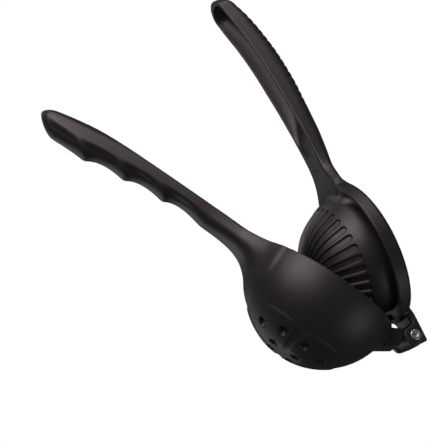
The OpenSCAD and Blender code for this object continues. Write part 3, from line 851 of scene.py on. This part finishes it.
socket = hexagon(socket_half, 0)
knurl = head_r - knurl_h * (0.5 + 0.5 * np.cos(knurl_count * turns_round)) ** 0.6
thread_rows = np.arange(thread_from, screw_end - 0.5, thread_pitch / 12)
winding = (thread_rows[:, None] / thread_pitch - turns_round / (2 * np.pi)) % 1
run_in = ramp((thread_rows - thread_from) / (2 * thread_pitch))[:, None]
thread = screw_r - thread_h * run_in * (1 - np.clip(2.6 * np.abs(winding - 0.5), 0.05, 1))
point = np.minimum(thread[-1], screw_r - 0.3)
socket_end = head_end + socket_depth
screw_rows = [(socket_end + 0.5, 0), (socket_end + 0.05, 0.8 * socket)]
screw_rows += eased((socket_end, socket), (socket_end + 0.03, 0.9 * socket), (socket_end - 0.12, socket))
screw_rows += [(head_end + 0.6, socket)]
screw_rows += eased((head_end + 0.12, socket), (head_end + 0.25, socket),
                    (head_end + 0.04, socket + 0.1))
screw_rows += eased((head_end, socket + 0.13), (head_end + 0.03, socket + 0.11),
                    (head_end, socket + 0.2))
face_r, side_start = head_r - head_chamfer, head_end + head_chamfer
screw_rows += [(head_end, 0.5 * (socket + 0.2) + 0.5 * (face_r - 0.1))]
screw_rows += eased((head_end, face_r), (head_end, face_r - 0.1), (head_end + 0.07, face_r + 0.07))
screw_rows += eased((side_start, head_r - 0.01), (side_start - 0.08, head_r - 0.09),
                    (side_start + 0.15, knurl))
screw_rows += [(at, knurl) for at in np.linspace(side_start + 0.3, head_seat - 0.35, 8)]
screw_rows += eased((head_seat - 0.1, head_r - 0.02), (head_seat - 0.25, knurl),
                    (head_seat, head_r - 0.15))
screw_rows += [(head_seat, 0.5 * (head_r + screw_r))]
screw_rows += eased((head_seat, screw_r), (head_seat, screw_r + 0.2), (head_seat + 0.2, screw_r))
screw_rows += [(at, screw_r) for at in np.linspace(head_seat + 0.4, thread_from - 0.1, 24)]
screw_rows += list(zip(thread_rows, thread))
screw_rows += eased((screw_end - 0.35, point), (screw_end - 0.48, point),
                    (screw_end - 0.25, point - 0.1))
screw_rows += eased((screw_end, point - 0.35), (screw_end - 0.1, point - 0.25),
                    (screw_end, point - 0.5))
screw_rows += [(screw_end, 0.5 * point), (screw_end, 0)]
screw = mesh_object("hinge_screw_steel", turned(screw_rows)[::-1])
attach(screw, "press_side")
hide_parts("hinge_screw")

lathe, inside_socket, outside = node_group("turned_steel", {"Lines": 9000.0}, ["Height", "Gloss"])
nodes, links = lathe.nodes, lathe.links
where = nodes.new("ShaderNodeTexCoord").outputs["Object"]
offset = nodes.new("ShaderNodeVectorMath")
offset.operation = "MULTIPLY_ADD"
offset.inputs[1].default_value = (1, 0, 1)
offset.inputs[2].default_value = (-pin_x * MM, 0, -pin_z * MM)
links.new(where, offset.inputs[0])
reach = nodes.new("ShaderNodeVectorMath")
reach.operation = "LENGTH"
links.new(offset.outputs["Vector"], reach.inputs[0])
rings = nodes.new("ShaderNodeTexNoise")
rings.noise_dimensions = "1D"
rings.inputs["Scale"].default_value = 1
rings.inputs["Detail"].default_value = 3
lines = maths(nodes, links, "MULTIPLY", reach.outputs["Value"], inside_socket.outputs["Lines"])
links.new(lines, rings.inputs["W"])
handled = nodes.new("ShaderNodeTexNoise")
handled.inputs["Scale"].default_value = 650
handled.inputs["Detail"].default_value = 5
links.new(where, handled.inputs["Vector"])
links.new(rings.outputs["Fac"], outside.inputs["Height"])
links.new(handled.outputs["Fac"], outside.inputs["Gloss"])


def steel(name, dull, bright):
    """A turned steel that goes between two colours and two finishes as it was handled."""
    made, nodes, links, shader = material(name)
    marks = nodes.new("ShaderNodeGroup")
    marks.node_tree = lathe
    handled = spread(nodes, links, marks.outputs["Gloss"], 0.35, 0.65, 0, 1)
    links.new(mixed(nodes, links, handled, dull, bright), shader.inputs["Base Color"])
    rough = spread(nodes, links, marks.outputs["Gloss"], 0.3, 0.7, 0.38, 0.24)
    links.new(rough, shader.inputs["Roughness"])
    shader.inputs["Metallic"].default_value = 1
    bump = nodes.new("ShaderNodeBump")
    bump.inputs["Strength"].default_value = 0.3
    bump.inputs["Distance"].default_value = 0.00002
    links.new(marks.outputs["Height"], bump.inputs["Height"])
    links.new(bump.outputs["Normal"], shader.inputs["Normal"])
    return made


screw.data.materials.append(steel("screw_steel", (0.60, 0.60, 0.62), (0.78, 0.78, 0.79)))

# ---------------------------------------------------------------------------------------
# Lock nut.  A hexagon nut of the same steel with a thin collar rolled over a nylon ring,
# which grips the thread and keeps the hinge from working loose.  It sits in the pocket of
# the far ear, so it can't turn while the screw is driven.
# ---------------------------------------------------------------------------------------
nut_half = 3.5
nut_start = 10.9
nut_hex_end = 14.1
nut_end = 15.9
nut_bore = 2.06
collar_r = 3.3
collar_wall = 0.5
collar_in = collar_r - collar_wall
nut_face_r = 3.1
nut_bevel = 1.73
nut_hex = hexagon(nut_half, np.pi / 2)
chamfer_rise = np.linspace(0, 0.42, 7)
nut_rows = [(nut_start + 0.25, nut_bore)]
nut_rows += eased((nut_start, nut_bore + 0.2), (nut_start + 0.15, nut_bore + 0.06),
                  (nut_start, nut_bore + 0.35))
nut_rows += [(nut_start, nut_face_r)]
nut_rows += [(nut_start + rise, np.minimum(nut_hex, 3.32 + nut_bevel * rise))
             for rise in chamfer_rise]
nut_rows += [(at, nut_hex) for at in np.linspace(nut_start + 0.6, nut_hex_end - 0.6, 5)]
nut_rows += [(nut_hex_end - rise, np.minimum(nut_hex, 3.42 + nut_bevel * rise))
             for rise in chamfer_rise[::-1]]
nut_rows += eased((nut_hex_end, collar_r), (nut_hex_end, collar_r + 0.1),
                  (nut_hex_end + 0.15, collar_r))
nut_rows += [(at, collar_r) for at in np.linspace(nut_hex_end + 0.3, nut_end - 0.8, 4)]
nut_rows += eased((nut_end, collar_r), (nut_end - 0.6, collar_r), (nut_end, collar_r - 0.45), 8)
nut_rows += eased((nut_end, collar_in - 0.12), (nut_end, collar_in + 0.02),
                  (nut_end - 0.15, collar_in - 0.1))
nut_rows += [(nut_end - 0.25, collar_in + 0.02), (nut_end - 0.3, collar_in + 0.04)]
nut_rows += [(nut_hex_end - 0.05, collar_in + 0.04), (nut_hex_end - 0.05, nut_bore + 0.3)]
nut_rows += [(nut_hex_end - 0.3, nut_bore), (nut_start + 0.25, nut_bore)]
nut = mesh_object("lock_nut_steel", turned(nut_rows))
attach(nut, "press_side")
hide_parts("lock_nut")
nut.data.materials.append(steel("nut_steel", (0.52, 0.52, 0.53), (0.70, 0.70, 0.70)))

# ---------------------------------------------------------------------------------------
# Ring of the lock nut.  Punched from blue nylon and held by the nut's collar; the screw has
# pressed its first turns into it.
# ---------------------------------------------------------------------------------------
ring_start = 14.1
ring_end = 15.6
ring_in = 2.06
ring_out = 2.8
ring_bulge = 0.04 * np.cos(3 * turns_round)
ring_rows = eased((ring_start, ring_in), (ring_start + 0.15, ring_in), (ring_start, ring_in + 0.15))
ring_rows += eased((ring_start, ring_out), (ring_start, ring_out - 0.15), (ring_start + 0.15, ring_out))
ring_rows += eased((ring_end, ring_out), (ring_end - 0.2, ring_out),
                   (ring_end - 0.02, ring_out - 0.2), 5)
ring_rows += [(ring_end - 0.02 + ring_bulge / 2 - 0.02, (ring_in + ring_out) / 2)]
ring_rows += eased((ring_end, ring_in), (ring_end - 0.03, ring_in + 0.2), (ring_end - 0.25, ring_in), 5)
ring_rows += [ring_rows[0]]
ring = mesh_object("lock_nut_ring_nylon", turned(ring_rows)[::-1])
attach(ring, "press_side")
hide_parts("lock_nut_ring")

blue_nylon, nodes, links, shader = material("blue_nylon")
plastic = nodes.new("ShaderNodeGroup")
plastic.node_tree = moulded
plastic.inputs["Grain"].default_value = 5200
plastic.inputs["Cloud"].default_value = 420
body_colour = mixed(nodes, links, plastic.outputs["Gloss"], (0.03, 0.09, 0.30), (0.05, 0.14, 0.42))
links.new(body_colour, shader.inputs["Base Color"])
soft = spread(nodes, links, plastic.outputs["Gloss"], 0.3, 0.7, 0.5, 0.38)
links.new(soft, shader.inputs["Roughness"])
shader.inputs["Subsurface Weight"].default_value = 0.15
shader.inputs["Subsurface Radius"].default_value = (0.3, 0.4, 1.0)
shader.inputs["Subsurface Scale"].default_value = 0.0006
bump = nodes.new("ShaderNodeBump")
bump.inputs["Strength"].default_value = 0.3
bump.inputs["Distance"].default_value = 0.00003
links.new(plastic.outputs["Height"], bump.inputs["Height"])
links.new(bump.outputs["Normal"], shader.inputs["Normal"])
ring.data.materials.append(blue_nylon)

# ---------------------------------------------------------------------------------------
# Camera, lamps, floor and background.  The product is seen a little from below, against
# white, lit by large soft lamps.
# ---------------------------------------------------------------------------------------
camera_at = np.array([-31.4, -505.5, -127.7]) * MM
aim = np.array([-80.15, 0, 43.15]) * MM
roll = np.radians(36.58)
toward = (camera_at - aim) / np.linalg.norm(camera_at - aim)
level = np.cross([0, 0, 1], toward)
level /= np.linalg.norm(level)
upright = np.cross(toward, level)
right = np.cos(roll) * level + np.sin(roll) * upright
up = np.cos(roll) * upright - np.sin(roll) * level
camera_data = bpy.data.cameras.new("camera")
camera_data.sensor_fit = "HORIZONTAL"
camera_data.sensor_width = 36
camera_data.lens = 70.65
camera_data.clip_start = 0.02
camera = bpy.data.objects.new("camera", camera_data)
camera.matrix_world = Matrix([
    [right[0], up[0], toward[0], camera_at[0]],
    [right[1], up[1], toward[1], camera_at[1]],
    [right[2], up[2], toward[2], camera_at[2]],
    [0, 0, 0, 1],
])
bpy.context.scene.collection.objects.link(camera)
bpy.context.scene.camera = camera

middle = np.array([-60, 0, 60]) * MM


def lamp(name, across, above, near, distance, size, power, colour=(1, 1, 1)):
    """A square soft lamp that faces the object's middle from a direction given by how far it
    lies to the right of, above and towards the camera."""
    direction = across * right + above * up + near * toward
    direction /= np.linalg.norm(direction)
    data = bpy.data.lights.new(name, "AREA")
    data.shape = "RECTANGLE"
    data.size, data.size_y = size
    data.energy = power
    data.color = colour
    side = np.cross(up, direction)
    side /= np.linalg.norm(side)
    top = np.cross(direction, side)
    at = middle + direction * distance
    made = bpy.data.objects.new(name, data)
    made.matrix_world = Matrix([
        [side[0], top[0], direction[0], at[0]],
        [side[1], top[1], direction[1], at[1]],
        [side[2], top[2], direction[2], at[2]],
        [0, 0, 0, 1],
    ])
    bpy.context.scene.collection.objects.link(made)
    return made


lamp("key_lamp", -0.52, 0.60, 0.62, 0.9, (0.75, 0.7), 7.5, (1, 0.95, 0.97))
lamp("top_lamp", -0.05, 0.95, 0.28, 0.8, (0.6, 0.5), 2.4, (1, 0.95, 0.97))
lamp("low_lamp", 0.68, -0.58, 0.45, 0.9, (0.4, 0.4), 0.7)
lamp("rear_lamp", -0.6, 0.45, -0.65, 1.0, (0.6, 0.6), 1)

floor_mesh = bpy.data.meshes.new("floor")
floor_half = 3
floor_z = -0.0002
floor_corners = [(-1, -1), (1, -1), (1, 1), (-1, 1)]
floor_mesh.from_pydata([(a * floor_half, b * floor_half, floor_z) for a, b in floor_corners],
                       [], [(0, 1, 2, 3)])
floor = bpy.data.objects.new("floor", floor_mesh)
bpy.context.scene.collection.objects.link(floor)
pale, nodes, links, shader = material("pale_floor")
shader.inputs["Base Color"].default_value = (0.8, 0.8, 0.8, 1)
shader.inputs["Roughness"].default_value = 0.9
shader.inputs["Specular IOR Level"].default_value = 0.1
clear = nodes.new("ShaderNodeBsdfTransparent")
path = nodes.new("ShaderNodeLightPath")
seen_side = nodes.new("ShaderNodeNewGeometry")
through = maths(nodes, links, "MAXIMUM", seen_side.outputs["Backfacing"], path.outputs["Is Shadow Ray"])
through = maths(nodes, links, "MAXIMUM", through, path.outputs["Is Glossy Ray"])
mix = nodes.new("ShaderNodeMixShader")
links.new(through, mix.inputs["Fac"])
links.new(shader.outputs["BSDF"], mix.inputs[1])
links.new(clear.outputs["BSDF"], mix.inputs[2])
links.new(mix.outputs["Shader"], nodes["Material Output"].inputs["Surface"])
floor_mesh.materials.append(pale)

world = bpy.data.worlds.new("studio")
world.use_nodes = True
bpy.context.scene.world = world
nodes, links = world.node_tree.nodes, world.node_tree.links
studio = nodes["Background"]
studio.inputs["Color"].default_value = (1, 1, 1, 1)
path = nodes.new("ShaderNodeLightPath")
backdrop = -0.55 * right - 0.5 * up - 0.67 * toward
backdrop /= np.linalg.norm(backdrop)
facing = nodes.new("ShaderNodeVectorMath")
facing.operation = "DOT_PRODUCT"
facing.inputs[1].default_value = backdrop
links.new(nodes.new("ShaderNodeTexCoord").outputs["Generated"], facing.inputs[0])
mirrored = spread(nodes, links, facing.outputs["Value"], 0.88, 1, 0.03, 0.8)
glossy = maths(nodes, links, "SUBTRACT", 1, mirrored)
glossy = maths(nodes, links, "MULTIPLY", glossy, path.outputs["Is Glossy Ray"])
links.new(maths(nodes, links, "SUBTRACT", 1, glossy), studio.inputs["Strength"])
bpy.context.scene.view_settings.view_transform = "Standard"
